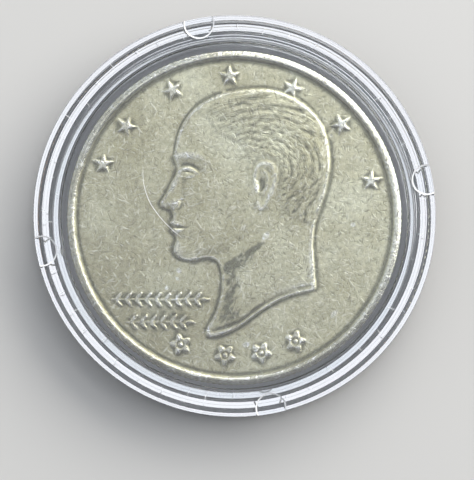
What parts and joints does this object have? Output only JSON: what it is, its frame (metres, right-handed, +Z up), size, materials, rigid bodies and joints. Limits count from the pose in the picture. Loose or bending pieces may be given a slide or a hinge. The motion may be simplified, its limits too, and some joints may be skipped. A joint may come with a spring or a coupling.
{
  "type": "coin capsule",
  "caption": "Round clear two-piece capsule that snaps shut round a large reeded coin, with flanged rims, flat windows and a finger groove.",
  "frame": {"origin": "centre of the round base's underside, on the capsule's axis", "axes": "+Z up along the capsule's axis, from the base to the lid; +Y towards the top of the coin's head; +X to the right"},
  "size_m": [0.0454, 0.0454, 0.0064],
  "materials": {
    "clear_plastic": "polished",
    "coin_metal": "satin"
  },
  "bodies": {
    "base": {"capsule_base": "clear_plastic"},
    "coin": {"coin": "coin_metal"},
    "lid": {"capsule_lid": "clear_plastic"}
  },
  "joints": [
    {"name": "lid_lift", "type": "slide", "parent": "base", "child": "lid", "axis": [0, 0, 1], "range_m": [0, 0.02]},
    {"name": "coin_turn", "type": "hinge", "parent": "base", "child": "coin", "pos_m": [0, -0.00012, 0.00319], "axis": [0, 0, 1], "continuous": true}
  ]
}
